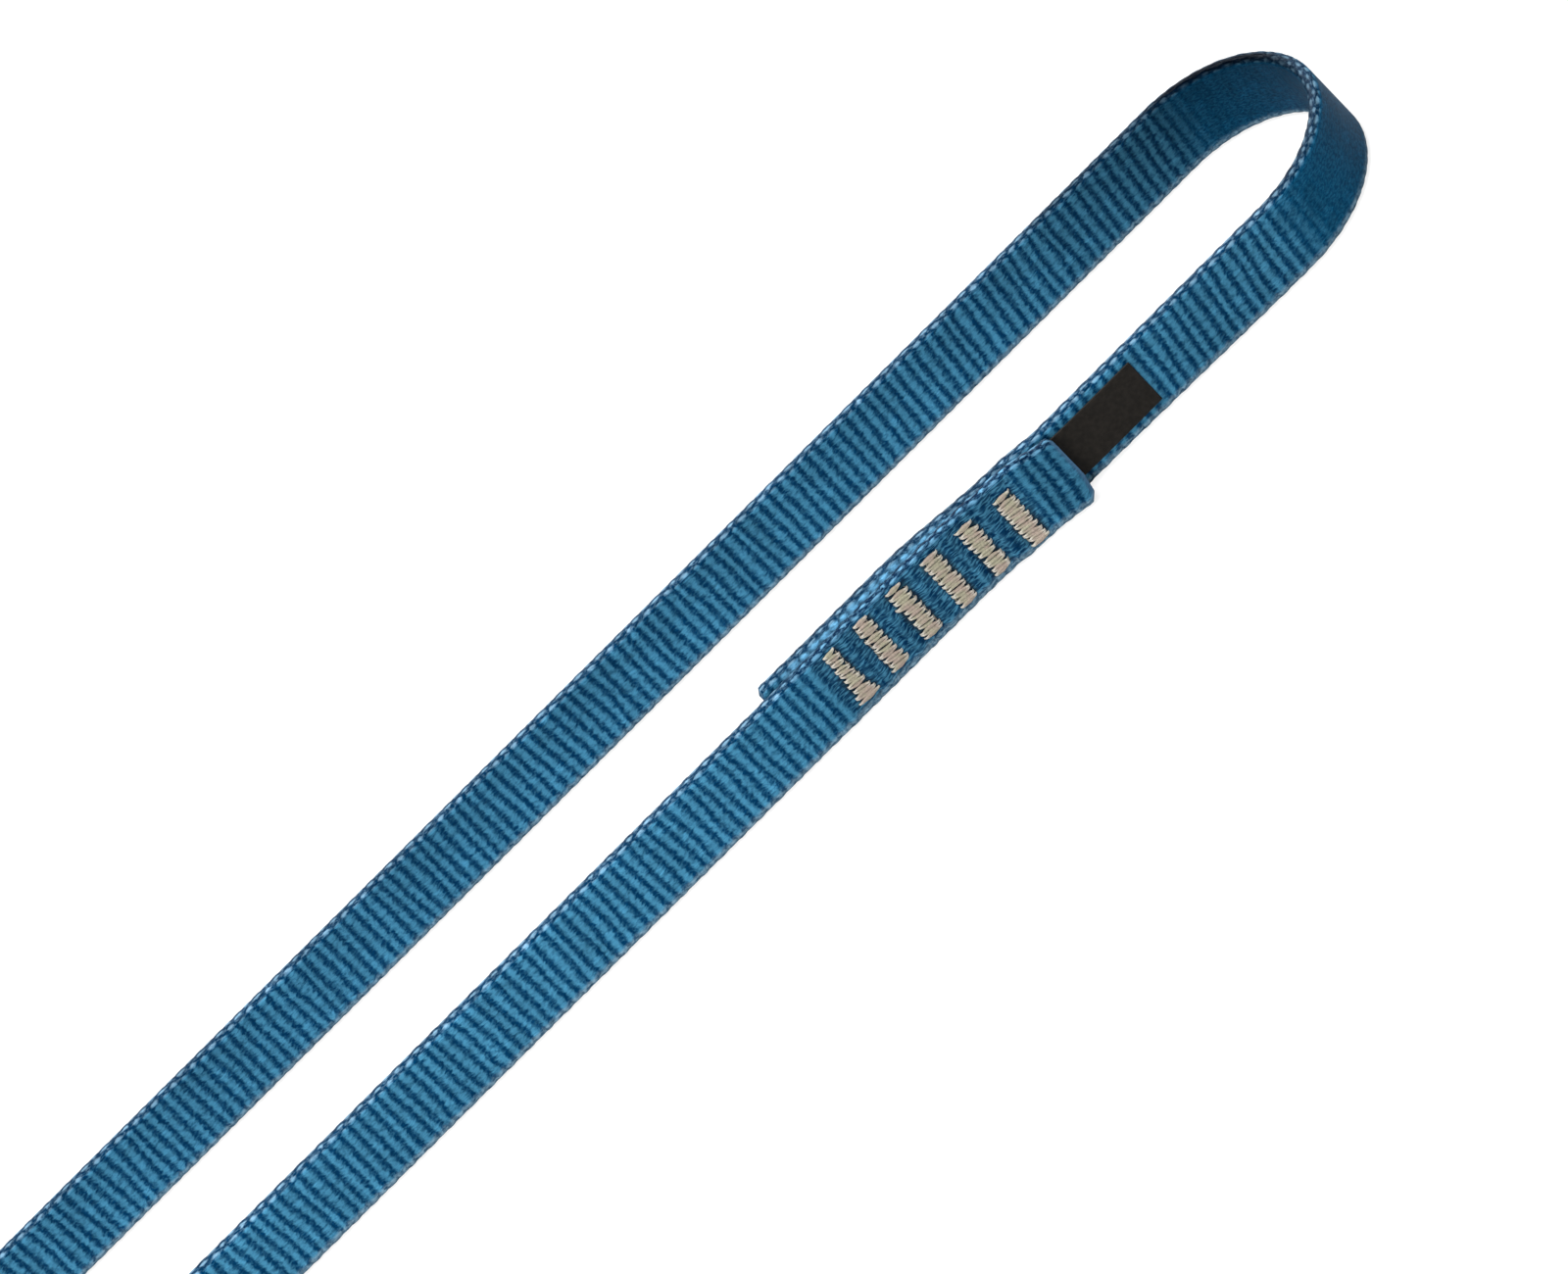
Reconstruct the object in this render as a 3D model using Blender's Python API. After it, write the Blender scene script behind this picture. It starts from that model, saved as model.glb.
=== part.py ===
"""Sewn climbing sling: one strip of nylon webbing, lapped on itself and closed with six bar tacks.

The loop stands open on its lower selvedge. X runs along the two legs, Y from the sewn leg to the plain
leg, and Z across the webbing. The sling is built round the middle of its loop, and an empty then
carries it to the origin, which is the middle of the whole object's base.
"""

import math

import bmesh
import bpy
from mathutils import Matrix, Vector

# Webbing
sling_length = 0.600
webbing_width = 0.016
webbing_thickness = 0.0026
selvedge_radius = 0.0009
bend_radius = 0.025
bend_steps = 21

# Lap, where the outer ply covers the inner one
lap_length = 0.072
lap_from_bend = 0.0575
ply_gap = 0.0003
tail_steps = 6
end_corner_radius = 0.0015
end_corner_steps = 3

# Bar tacks, each one zigzag of thread on either face
tack_count = 6
tack_pitch = 0.0087
tack_width = 0.0048
tack_margin = 0.0014
thread_diameter = 0.0005
thread_clearance = 0.0001
needle_clearance = 0.00015
needle_wall = 0.0002
seat_depth = 0.0003
seat_clearance = 0.0002
seat_margin = 0.0003
seat_ramp = 0.0006

# Label, a folded tape whose tail is caught by the last bar tack
label_width = 0.0112
label_length = 0.0204
label_thickness = 0.0004
label_clearance = 0.0002
label_bend_from_end = 0.003
label_bend_gap = 0.0002
label_fold_steps = 6

# One overrun serves every cut
overrun = 0.001

# Derived places along the legs
half_leg = (sling_length - math.pi * bend_radius) / 2
half_thickness = webbing_thickness / 2
middle_height = webbing_width / 2
outer_end = half_leg - lap_from_bend
inner_end = outer_end - lap_length
lap_middle = (outer_end + inner_end) / 2
tack_places = [lap_middle + tack_pitch * (number - (tack_count - 1) / 2) for number in range(tack_count)]
last_tack = tack_places[-1]
seat_half = tack_width / 2 + seat_margin
seat_reach = seat_half + seat_ramp
sewn_start = tack_places[0] - seat_reach
sewn_end = last_tack + seat_reach

# Derived places through the thickness, measured outwards from the middle of the sewn leg
ply_shift = (webbing_thickness + ply_gap) / 2
label_lift = label_thickness + 2 * label_clearance - ply_gap
label_middle = label_clearance + label_thickness / 2 - ply_gap / 2

# Derived sizes of the stitches
thread_radius = thread_diameter / 2
leg_spacing = thread_diameter + thread_clearance
needle_hole_width = thread_diameter + 2 * needle_clearance
needle_hole_height = leg_spacing + needle_hole_width
tack_length = webbing_width - 2 * tack_margin
stitches_per_side = int(tack_length / (needle_hole_height + needle_wall))
corner_step = tack_length / (2 * stitches_per_side)
column_offset = (tack_width - thread_diameter) / 2
thread_height = seat_clearance + thread_radius - seat_depth

# The origin stands under the middle of the whole object
plain_side_reach = bend_radius + half_thickness
sewn_side_reach = bend_radius + 2 * ply_shift + label_lift + half_thickness
frame_shift = (sewn_side_reach - plain_side_reach) / 2

# Colours as seen on the object
webbing_colour = (0.030, 0.141, 0.262, 1.0)
thread_colour = (0.515, 0.402, 0.262, 1.0)
label_colour = (0.012, 0.009, 0.008, 1.0)


def clear_scene():
    for old in list(bpy.data.objects):
        bpy.data.objects.remove(old, do_unlink=True)


def make_material(name, colour, roughness, sheen):
    material = bpy.data.materials.new(name)
    material.use_nodes = True
    shader = material.node_tree.nodes["Principled BSDF"]
    shader.inputs["Base Color"].default_value = colour
    shader.inputs["Roughness"].default_value = roughness
    shader.inputs["Metallic"].default_value = 0.0
    shader.inputs["Sheen Weight"].default_value = sheen
    material.diffuse_color = colour
    return material


def add_object(name, data, material, parent):
    made = bpy.data.objects.new(name, data)
    data.materials.append(material)
    bpy.context.collection.objects.link(made)
    made.parent = parent
    return made


def mesh_from(name, shape, crease_angle=math.radians(35)):
    """Close a bmesh into a smooth mesh that keeps its sharp edges."""
    bmesh.ops.recalc_face_normals(shape, faces=shape.faces)
    mesh = bpy.data.meshes.new(name)
    shape.to_mesh(mesh)
    shape.free()
    mesh.shade_smooth()
    mesh.set_sharp_from_angle(angle=crease_angle)
    return mesh


def smooth_step(share):
    held = min(max(share, 0.0), 1.0)
    return held * held * (3 - 2 * held)


def tack_seat(place):
    """How far the webbing is pressed in at this place along the sewn leg."""
    distance = min(abs(place - tack) for tack in tack_places)
    return seat_depth * (1 - smooth_step((distance - seat_half) / seat_ramp))


def lap_line(place):
    """Where the plies meet, outwards from the leg's line: at each cut end the other ply is on that line."""
    past_inner_end = smooth_step((place - inner_end) / (sewn_start - inner_end))
    near_outer_end = smooth_step((place - sewn_end) / (outer_end - sewn_end))
    return ply_shift * (past_inner_end + near_outer_end - 1)


def inner_ply_shift(place):
    return lap_line(place) - ply_shift


def outer_ply_shift(place):
    """The outer ply also steps over the label's tail, between the last two bar tacks."""
    lift_start = last_tack - tack_pitch + seat_reach
    over_label_tail = smooth_step((place - lift_start) / (tack_pitch - 2 * seat_reach))
    return lap_line(place) + ply_shift + label_lift * over_label_tail


def evenly(start, end, steps):
    return [start + (end - start) * step / steps for step in range(steps + 1)]


def sewn_places():
    """Places where a ply under the bar tacks changes its thickness or its line."""
    reaches = (-seat_reach, -seat_half, seat_half, seat_reach)
    return [tack + reach for tack in tack_places for reach in reaches]


def station(place, shift, inside_press=0.0, outside_press=0.0, height_share=1.0):
    """One cross section on the sewn leg: its middle, its half thickness each way and its height."""
    middle = Vector((place, -bend_radius - shift))
    return middle, half_thickness - inside_press, half_thickness - outside_press, height_share


def rounded_end(end, direction, shift_of):
    """Stations that round the corners of a cut end, from full height to the cut."""
    made = []
    for step in range(end_corner_steps + 1):
        angle = math.pi / 2 * step / end_corner_steps
        place = end - direction * end_corner_radius * (1 - math.sin(angle))
        lost = end_corner_radius * (1 - math.cos(angle))
        made.append(station(place, shift_of(place), height_share=1 - 2 * lost / webbing_width))
    return made


def bend(centre_x, start_angle):
    """Stations round one end of the loop, a half circle turning left."""
    made = []
    for angle in evenly(start_angle, start_angle + math.pi, bend_steps):
        middle = Vector((centre_x + bend_radius * math.cos(angle), bend_radius * math.sin(angle)))
        made.append((middle, half_thickness, half_thickness, 1.0))
    return made


def webbing_stations():
    """The strip's route: inner cut end, bend, plain leg, bend, outer cut end."""
    inner_tail = evenly(inner_end + end_corner_radius, sewn_start, tail_steps)
    outer_tail = evenly(sewn_end, outer_end - end_corner_radius, tail_steps)
    stations = list(reversed(rounded_end(inner_end, -1, inner_ply_shift)))
    for place in inner_tail[1:-1] + sewn_places() + evenly(sewn_end, outer_end, tail_steps)[1:]:
        stations.append(station(place, inner_ply_shift(place), inside_press=tack_seat(place)))
    stations += bend(half_leg, -math.pi / 2)
    stations += bend(-half_leg, math.pi / 2)
    for place in evenly(inner_end, sewn_start, tail_steps)[:-1] + sewn_places() + outer_tail[1:-1]:
        stations.append(station(place, outer_ply_shift(place), outside_press=tack_seat(place)))
    return stations + rounded_end(outer_end, 1, outer_ply_shift)


def webbing_profile():
    """The cross section as (share of the half thickness, height), with rounded selvedges."""
    round_share = selvedge_radius / half_thickness
    quarter = (0.0, math.pi / 4, math.pi / 2)
    points = []
    for side, top in ((1, 0), (1, 1), (-1, 1), (-1, 0)):
        turn = quarter if side * (2 * top - 1) > 0 else tuple(reversed(quarter))
        for angle in turn:
            across = side * (1 - round_share * (1 - math.cos(angle)))
            in_from_edge = selvedge_radius * (1 - math.sin(angle))
            points.append((across, webbing_width - in_from_edge if top else in_from_edge))
    return points


def ring_at(shape, profile, middle, direction, half_in, half_out, height_share):
    """One ring of vertices, square to the strip; left of its direction is the inside of the loop."""
    inwards = Vector((-direction.y, direction.x))
    ring = []
    for across, height in profile:
        offset = across * (half_in if across > 0 else half_out)
        level = middle_height + (height - middle_height) * height_share
        ring.append(shape.verts.new((*(middle + inwards * offset), level)))
    return ring


def make_webbing(material, needle_holes, parent):
    stations = webbing_stations()
    profile = webbing_profile()
    shape = bmesh.new()
    rings = []
    for index, (middle, half_in, half_out, height_share) in enumerate(stations):
        before = stations[max(index - 1, 0)][0]
        after = stations[min(index + 1, len(stations) - 1)][0]
        direction = (after - before).normalized()
        rings.append(ring_at(shape, profile, middle, direction, half_in, half_out, height_share))
    for ring, following in zip(rings, rings[1:]):
        for corner in range(len(profile)):
            other = (corner + 1) % len(profile)
            shape.faces.new((ring[corner], ring[other], following[other], following[corner]))
    shape.faces.new(rings[0])
    shape.faces.new(rings[-1])
    webbing = add_object("webbing", mesh_from("webbing", shape), material, parent)
    cut(webbing, needle_holes)
    return webbing


def cut(target, cutter):
    boolean = target.modifiers.new("needle_holes", "BOOLEAN")
    boolean.operation = "DIFFERENCE"
    boolean.solver = "EXACT"
    boolean.object = cutter


def tack_corners(tack):
    """The zigzag's corners as (x, height), where the needle goes through."""
    for number in range(2 * stitches_per_side + 1):
        side = -1 if number % 2 == 0 else 1
        yield tack + side * column_offset, tack_margin + number * corner_step


def make_needle_holes(parent):
    """One square hole through both plies at each corner of each bar tack."""
    innermost = -bend_radius + ply_shift + half_thickness + overrun
    outermost = -bend_radius - ply_shift - label_lift - half_thickness - overrun
    size = Vector((needle_hole_width, innermost - outermost, needle_hole_height))
    shape = bmesh.new()
    for tack in tack_places:
        for place, height in tack_corners(tack):
            middle = Vector((place, (innermost + outermost) / 2, height))
            bmesh.ops.create_cube(shape, size=1.0, matrix=Matrix.LocRotScale(middle, None, size))
    cutter = bpy.data.objects.new("needle_holes", mesh_from("needle_holes", shape))
    bpy.context.collection.objects.link(cutter)
    cutter.parent = parent
    cutter.hide_render = True
    cutter.display_type = "WIRE"
    return cutter


def thread_route(tack, face, loop):
    """One thread of a bar tack: strokes on a face, and at each corner a loop down its needle hole."""
    (first_place, first_height), *middle_corners, (last_place, last_height) = tack_corners(tack)
    points = [(first_place, loop, first_height), (first_place, face, first_height)]
    for place, height in middle_corners:
        down, up = height - leg_spacing / 2, height + leg_spacing / 2
        points += [(place, face, down), (place, loop, down), (place, loop, up), (place, face, up)]
    return points + [(last_place, face, last_height), (last_place, loop, last_height)]


def make_thread(name, points, material, parent):
    data = bpy.data.curves.new(name, "CURVE")
    data.dimensions = "3D"
    data.bevel_depth = thread_radius
    data.bevel_resolution = 0
    data.use_fill_caps = True
    spline = data.splines.new("POLY")
    spline.points.add(len(points) - 1)
    for point, (x, y, z) in zip(spline.points, points):
        point.co = (x, y, z, 1.0)
    return add_object(name, data, material, parent)


def make_bar_tack(number, tack, material, parent):
    """A needle thread on the outer face and a bobbin thread on the inner one, meeting half way through."""
    outer_shift = outer_ply_shift(tack)
    outer_face = -bend_radius - outer_shift - half_thickness - thread_height
    inner_face = -bend_radius + ply_shift + half_thickness + thread_height
    meeting = -bend_radius - (outer_shift - ply_shift) / 2
    loop_offset = thread_radius + ply_gap / 2
    needle_route = thread_route(tack, outer_face, meeting - loop_offset)
    bobbin_route = thread_route(tack, inner_face, meeting + loop_offset)
    make_thread(f"bar_tack_{number}_needle_thread", needle_route, material, parent)
    make_thread(f"bar_tack_{number}_bobbin_thread", bobbin_route, material, parent)


def tape(name, outline, material, parent):
    """A piece of label tape: its outline seen from above, extruded over the label's width."""
    shape = bmesh.new()
    low = middle_height - label_width / 2
    face = shape.faces.new([shape.verts.new((x, y, low)) for x, y in outline])
    grown = bmesh.ops.extrude_face_region(shape, geom=[face])
    raised = [item for item in grown["geom"] if isinstance(item, bmesh.types.BMVert)]
    bmesh.ops.translate(shape, vec=(0, 0, label_width), verts=raised)
    return add_object(name, mesh_from(name, shape), material, parent)


def make_label(material, needle_holes, parent):
    """The tail lies between the plies under the last bar tack. The leaf turns about the tape's bend."""
    half = label_thickness / 2
    bend_x = outer_end + label_bend_from_end
    tail_end = bend_x - half - label_bend_gap
    tail_places = [last_tack - seat_half] + evenly(sewn_end, outer_end, tail_steps) + [tail_end]
    tail_line = [(place, -bend_radius - lap_line(place) - label_middle) for place in tail_places]
    outline = [(x, y - half) for x, y in tail_line] + [(x, y + half) for x, y in reversed(tail_line)]
    cut(tape("label_tail", outline, material, parent), needle_holes)

    fold_x = label_length - label_bend_from_end - half
    leaf_outline = [(0, half), (0, -half)]
    for angle in evenly(-math.pi / 2, math.pi / 2, label_fold_steps):
        leaf_outline.append((fold_x + half * math.cos(angle), half * math.sin(angle)))
    leaf = tape("label_leaf", leaf_outline, material, parent)
    leaf.location = (*tail_line[-1], 0)
    leaf.location.x = bend_x


def make_sling():
    clear_scene()
    frame = bpy.data.objects.new("sling_frame", None)
    bpy.context.collection.objects.link(frame)
    frame.location = (0, frame_shift, 0)
    webbing_material = make_material("blue_nylon_webbing", webbing_colour, 0.75, 0.3)
    thread_material = make_material("beige_thread", thread_colour, 0.6, 0.2)
    label_material = make_material("black_label_tape", label_colour, 0.45, 0.0)
    needle_holes = make_needle_holes(frame)
    make_webbing(webbing_material, needle_holes, frame)
    for number, tack in enumerate(tack_places, start=1):
        make_bar_tack(number, tack, thread_material, frame)
    make_label(label_material, needle_holes, frame)


make_sling()
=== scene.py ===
"""Looks of the sewn climbing sling: woven webbing, bar tacks and a blank label, in a white studio.

Every length is in metres. The strip's route repeats the solid's values.
"""

import math

import bpy
import numpy as np
from mathutils import Matrix, Vector


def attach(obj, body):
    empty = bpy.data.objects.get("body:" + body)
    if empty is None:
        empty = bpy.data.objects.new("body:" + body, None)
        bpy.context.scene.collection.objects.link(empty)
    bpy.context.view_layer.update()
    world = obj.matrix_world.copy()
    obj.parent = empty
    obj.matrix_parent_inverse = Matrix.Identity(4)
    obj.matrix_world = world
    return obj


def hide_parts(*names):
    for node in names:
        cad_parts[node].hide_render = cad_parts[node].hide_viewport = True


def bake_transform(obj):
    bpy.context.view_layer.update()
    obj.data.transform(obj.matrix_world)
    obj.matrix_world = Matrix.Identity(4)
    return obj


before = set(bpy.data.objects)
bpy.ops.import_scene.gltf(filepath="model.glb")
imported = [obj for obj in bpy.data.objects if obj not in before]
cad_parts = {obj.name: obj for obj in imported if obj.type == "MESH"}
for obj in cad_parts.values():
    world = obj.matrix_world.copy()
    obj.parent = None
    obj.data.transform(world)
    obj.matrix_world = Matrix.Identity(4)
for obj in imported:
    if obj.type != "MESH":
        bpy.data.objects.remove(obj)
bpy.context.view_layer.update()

# Webbing, as in the solid
sling_length = 0.600
webbing_width = 0.016
webbing_thickness = 0.0026
bend_radius = 0.025

# Lap, as in the solid
lap_length = 0.072
lap_from_bend = 0.0575
ply_gap = 0.0003
end_corner_radius = 0.0015

# Outer cut end, as it is seen
outer_end_slant = 0.0012
outer_slant_height = 0.0062

# Bar tacks, as in the solid
tack_count = 6
tack_pitch = 0.0087
tack_width = 0.0048
seat_margin = 0.0003
seat_ramp = 0.0006

# Stitches, as they are seen
stitch_width = 0.00100
stitch_height = 0.00050
stitch_sides = 10
stitch_steps = 14
stitch_sunk_depth = 0.00042
stitch_rise_length = 0.0007
thread_plies = 3
thread_twist = 14
ply_relief_share = 0.07
stitch_bars = 10
bar_fall_share = 0.45
strand_bow = 0.00040
strand_bow_at_end = 0.3
bow_spread = 0.00008
end_size_share = 0.32
end_taper = 0.0030
over_arch = 0.00034
under_arch = 0.00029
core_arch = -0.00014
core_threads = 7
core_stitches = 4
core_inset = 0.0004
core_spread_share = 1.40
hole_shift_along = 0.00013
hole_shift_up = 0.00014
tack_low = 0.0026
tack_high = 0.0152
first_tack_top_width = 0.0036
first_tack_shift = 0.00035
first_tack_low_width = 0.0060
level_tacks = 3
tack_top_fall = 0.0007
tack_foot_fall = 0.0004
pressed_depth = 0.0004

# Label, as in the solid
label_width = 0.0112
label_length = 0.0204
label_thickness = 0.0004
label_clearance = 0.0002

# Label, as it is seen
label_rise = 0.0006
label_bow = 0.00005
label_curl = 0.00010
label_curl_length = 0.004
label_weft_pitch = 0.00032
label_warp_pitch = 0.00022

# Derived places along the legs
half_leg = (sling_length - math.pi * bend_radius) / 2
half_thickness = webbing_thickness / 2
middle_height = webbing_width / 2
outer_end = half_leg - lap_from_bend
inner_end = outer_end - lap_length
lap_middle = (outer_end + inner_end) / 2
tack_places = [lap_middle + tack_pitch * (number - (tack_count - 1) / 2) for number in range(tack_count)]
seen_tack_places = [tack_places[0] + first_tack_shift, *tack_places[1:]]
last_tack = tack_places[-1]
seat_half = tack_width / 2 + seat_margin
seat_reach = seat_half + seat_ramp
sewn_start = tack_places[0] - seat_reach
sewn_end = last_tack + seat_reach

# Derived places through the thickness
ply_shift = (webbing_thickness + ply_gap) / 2
label_lift = label_thickness + 2 * label_clearance - ply_gap
label_middle = label_clearance + label_thickness / 2 - ply_gap / 2
frame_shift = (2 * ply_shift + label_lift) / 2

# Lengths along the strip, from its inner cut end
bend_length = math.pi * bend_radius
right_bend_start = half_leg - inner_end
plain_leg_start = right_bend_start + bend_length
left_bend_start = plain_leg_start + 2 * half_leg
sewn_leg_start = left_bend_start + bend_length
strip_length = sewn_leg_start + half_leg + outer_end

# Weave: a warp yarn floats over every second rib, and the yarns beside it over the ribs between
rib_pitch = 0.00254
face_yarns = 7
edge_yarns = 3
yarns_round = 2 * (face_yarns + edge_yarns)
yarn_phase = 0.7
points_per_yarn = 4
corner_points = 24
rings_per_rib = 3
route_step = 0.0002
relief_depth = 0.00036
edge_relief_share = 0.28
bend_relief_loss = 0.9
crest_height = 0.00012
seen_width = 0.0165
rib_lean = math.radians(5.5)
rib_lean_start = 0.150
rib_lean_length = 0.060
rib_shift_spread = 0.045
rib_lean_spread = 0.055
rib_wave_spread = 0.05
rib_wave_turn = 3.2
slow_lean_spread = 0.15
slow_lean_ribs = 13
wander_seed = 7
float_reach = 0.57
float_reach_swing = 0.04
float_end_power = 2.2
float_merging = 0.08
face_groove_share = 0.18
edge_groove_share = 4.2
groove_least = 0.4
groove_growth = 3.0
selvedge_radius = 0.00115

# How far the webbing leans and rises off its plain route, as seen
label_side_lean = 0.0012
plain_leg_low_lean = 0.0003
plain_leg_high_lean = 0.0005
leg_lean = 0.0018
lap_lean_loss = 0.0013
end_lean = 0.0014
end_lean_start = 0.172
end_lean_length = 0.030
end_high_lean = 0.0006
crossing_length = 0.028
crossing_loss = 0.45
inner_end_rise = 0.0020
outer_top_rise = 0.0010

# Rows of the webbing with painted light and shade of their own, and the webbing beside the tacks
dim_row_height = 0.0151
dim_row_fade = 0.0005
dim_row_edge = 0.5
hidden_from = 0.2
hidden_fade = 0.5
bright_to = 0.1
bright_fade = 0.3
highlight_row_share = 0.7
lit_row_height = 0.01455
lit_row_reach = 0.00115
low_row_height = 0.0009
low_row_fade = 0.0012
cut_shade_length = 0.004
sealed_length = 0.0008
inner_seal_loss = 0.7
seat_end_fade = 0.0016
pull_reach_between = 0.0045
pull_reach_beyond = 0.0018

# Colours as they are seen, from 0 to 255; a pair is the darker and the lighter end of a mix
# Pairs mixed by the weave's painted light have the painted shade of its grooves at their darker end
rib_colours = ((0, 48, 82), (64, 127, 159))
pulled_colours = ((0, 46, 84), (80, 146, 180))
# Round the bends: the smoother stretched weave, in a darker colour that paints the shade there
bend_smooth_shade_colours = ((0, 58, 90), (20, 84, 118))
# Selvedges: the lighter end paints the highlight on the top edges and the painted light of the low and lit
# rows
selvedge_highlight_colours = ((4, 42, 70), (114, 150, 174))
# Painted highlight on the rows of the lap that catch the light
highlight_row_colours = ((0, 20, 54), (112, 182, 224))
# Painted light of the floor's bounce on the lowest row
floor_bounce_colours = ((48, 82, 106), (124, 154, 170))
# Painted shade on the webbing under and between a tack's stitches
thread_shade_colour = (24, 32, 36)
cut_end_colour = (80, 118, 150)
webbing_glint_colour = (20, 140, 230)
webbing_sheen_colour = (60, 150, 210)
thread_colours = ((170, 153, 140), (161, 157, 134))
# Painted highlight near the stitches' tips
thread_tip_highlight_colour = (204, 200, 190)
label_colours = ((18, 15, 11), (32, 28, 24))


def smooth_step(share):
    """0 up to 0, 1 from 1, and smooth between."""
    held = np.clip(share, 0.0, 1.0)
    return held * held * (3 - 2 * held)


def passed(place, start, end):
    """0 before the start, 1 past the end, and smooth between."""
    return smooth_step((place - start) / (end - start))


def add_object(name, data):
    made = bpy.data.objects.new(name, data)
    bpy.context.scene.collection.objects.link(made)
    return made


def make_camera():
    """The photograph's view: the legs run from lower left to upper right."""
    elevation = math.radians(34.2)
    roll = math.radians(44.9)
    distance = 2.2
    pixels_per_metre = 5392
    image_width = 1600
    target_from_bend = 0.1185
    target_shift = 0.0101
    target = Vector((half_leg - target_from_bend, frame_shift + target_shift, 0))
    back = Vector((0, -math.cos(elevation), math.sin(elevation)))
    right = Vector((1, 0, 0))
    up = back.cross(right)
    image_right = math.cos(roll) * right - math.sin(roll) * up
    image_up = math.sin(roll) * right + math.cos(roll) * up
    data = bpy.data.cameras.new("camera")
    data.sensor_width = 36
    data.lens = pixels_per_metre * distance * data.sensor_width / image_width
    data.clip_end = 20
    camera = add_object("camera", data)
    placed = Matrix((image_right, image_up, back)).transposed().to_4x4()
    placed.translation = target + distance * back
    camera.matrix_world = placed
    bpy.context.scene.camera = camera


def lap_line(place):
    """How far the line between the lap's plies lies outside the leg's own line."""
    past_inner_end = passed(place, inner_end, sewn_start)
    near_outer_end = passed(place, sewn_end, outer_end)
    return ply_shift * (past_inner_end + near_outer_end - 1)


def inner_ply_shift(place):
    return lap_line(place) - ply_shift


def outer_ply_shift(place):
    lift_start = last_tack - tack_pitch + seat_reach
    over_label_tail = smooth_step((place - lift_start) / (tack_pitch - 2 * seat_reach))
    return lap_line(place) + ply_shift + label_lift * over_label_tail


def make_route():
    """The strip's middle line as arrays: distance, x, y and the angle of its direction."""
    count = math.ceil(strip_length / route_step)
    distance = np.linspace(0, strip_length, count + 1)
    x = np.empty_like(distance)
    y = np.empty_like(distance)

    part = distance <= right_bend_start
    x[part] = inner_end + distance[part]
    y[part] = -bend_radius - inner_ply_shift(x[part])

    part = (distance > plain_leg_start) & (distance <= left_bend_start)
    x[part] = half_leg - (distance[part] - plain_leg_start)
    y[part] = bend_radius

    bends = ((right_bend_start, half_leg, -math.pi / 2), (left_bend_start, -half_leg, math.pi / 2))
    for start, centre, first_angle in bends:
        part = (distance > start) & (distance <= start + bend_length)
        angle = (distance[part] - start) / bend_radius + first_angle
        x[part] = centre + bend_radius * np.cos(angle)
        y[part] = bend_radius * np.sin(angle)

    part = distance > sewn_leg_start
    x[part] = -half_leg + (distance[part] - sewn_leg_start)
    y[part] = -bend_radius - outer_ply_shift(x[part])

    heading = np.unwrap(np.arctan2(np.gradient(y), np.gradient(x)))
    return distance, x, y + frame_shift, heading


def float_height(ribs, yarns, edge):
    """The weave's relief, from 0 to 1, at these counts of ribs along and of yarns round the strip."""
    odd = np.floor(ribs) % 2
    within = np.abs(ribs - np.floor(ribs) - 0.5)
    own = (yarns + 0.5 * odd + 0.5) % 1 - 0.5
    other = (yarns + 0.5 * odd) % 1 - 0.5
    swing = float_reach_swing * (1 - 2 * edge) * (1 - 2 * odd)
    own_reach = float_reach + swing
    other_reach = float_reach - swing
    groove_share = face_groove_share + (edge_groove_share - face_groove_share) * edge**2
    heights = []
    for along, across, reach in ((within, own, own_reach), (1 - within, other, other_reach)):
        groove = groove_share * (2 * across) ** 2 * (groove_least + groove_growth * along**2)
        heights.append(1 - (along / reach) ** float_end_power - groove)
    return np.clip(np.maximum(*heights), 0, 1)


def strip_profile():
    """Points round the strip's section, from its lower edge up the outer face.

    Gives the yarn each lies on, its place across and up, and its normal across and up.
    """
    yarns = np.arange(0, yarns_round, 1 / points_per_yarn)
    radius = selvedge_radius
    face = webbing_width - 2 * radius
    half_edge = half_thickness - radius + math.pi * radius / 2
    knots = np.cumsum([0, edge_yarns / 2, face_yarns, edge_yarns, face_yarns, edge_yarns / 2])
    runs = np.cumsum([0, half_edge, face, 2 * half_edge, face, half_edge])
    at = np.interp((yarns + yarn_phase) % yarns_round, knots, runs)
    corners = (
        (-1, radius, -math.pi / 2, -math.pi),
        (-1, webbing_width - radius, math.pi, math.pi / 2),
        (1, webbing_width - radius, math.pi / 2, 0),
        (1, radius, 0, -math.pi / 2),
    )
    outline = [(0.0, 0.0, 0.0, -1.0)]
    for side, centre_height, start, end in corners:
        for angle in np.linspace(start, end, corner_points):
            across_normal = math.cos(angle)
            height_normal = math.sin(angle)
            across = side * (half_thickness - radius) + radius * across_normal
            outline.append((across, centre_height + radius * height_normal, across_normal, height_normal))
    outline.append((0.0, 0.0, 0.0, -1.0))
    outline = np.array(outline)
    steps = np.linalg.norm(np.diff(outline[:, :2], axis=0), axis=1)
    run = np.concatenate([[0], np.cumsum(steps)]) * (runs[-1] / steps.sum())
    return yarns, *(np.interp(at, run, column) for column in outline.T)


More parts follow.
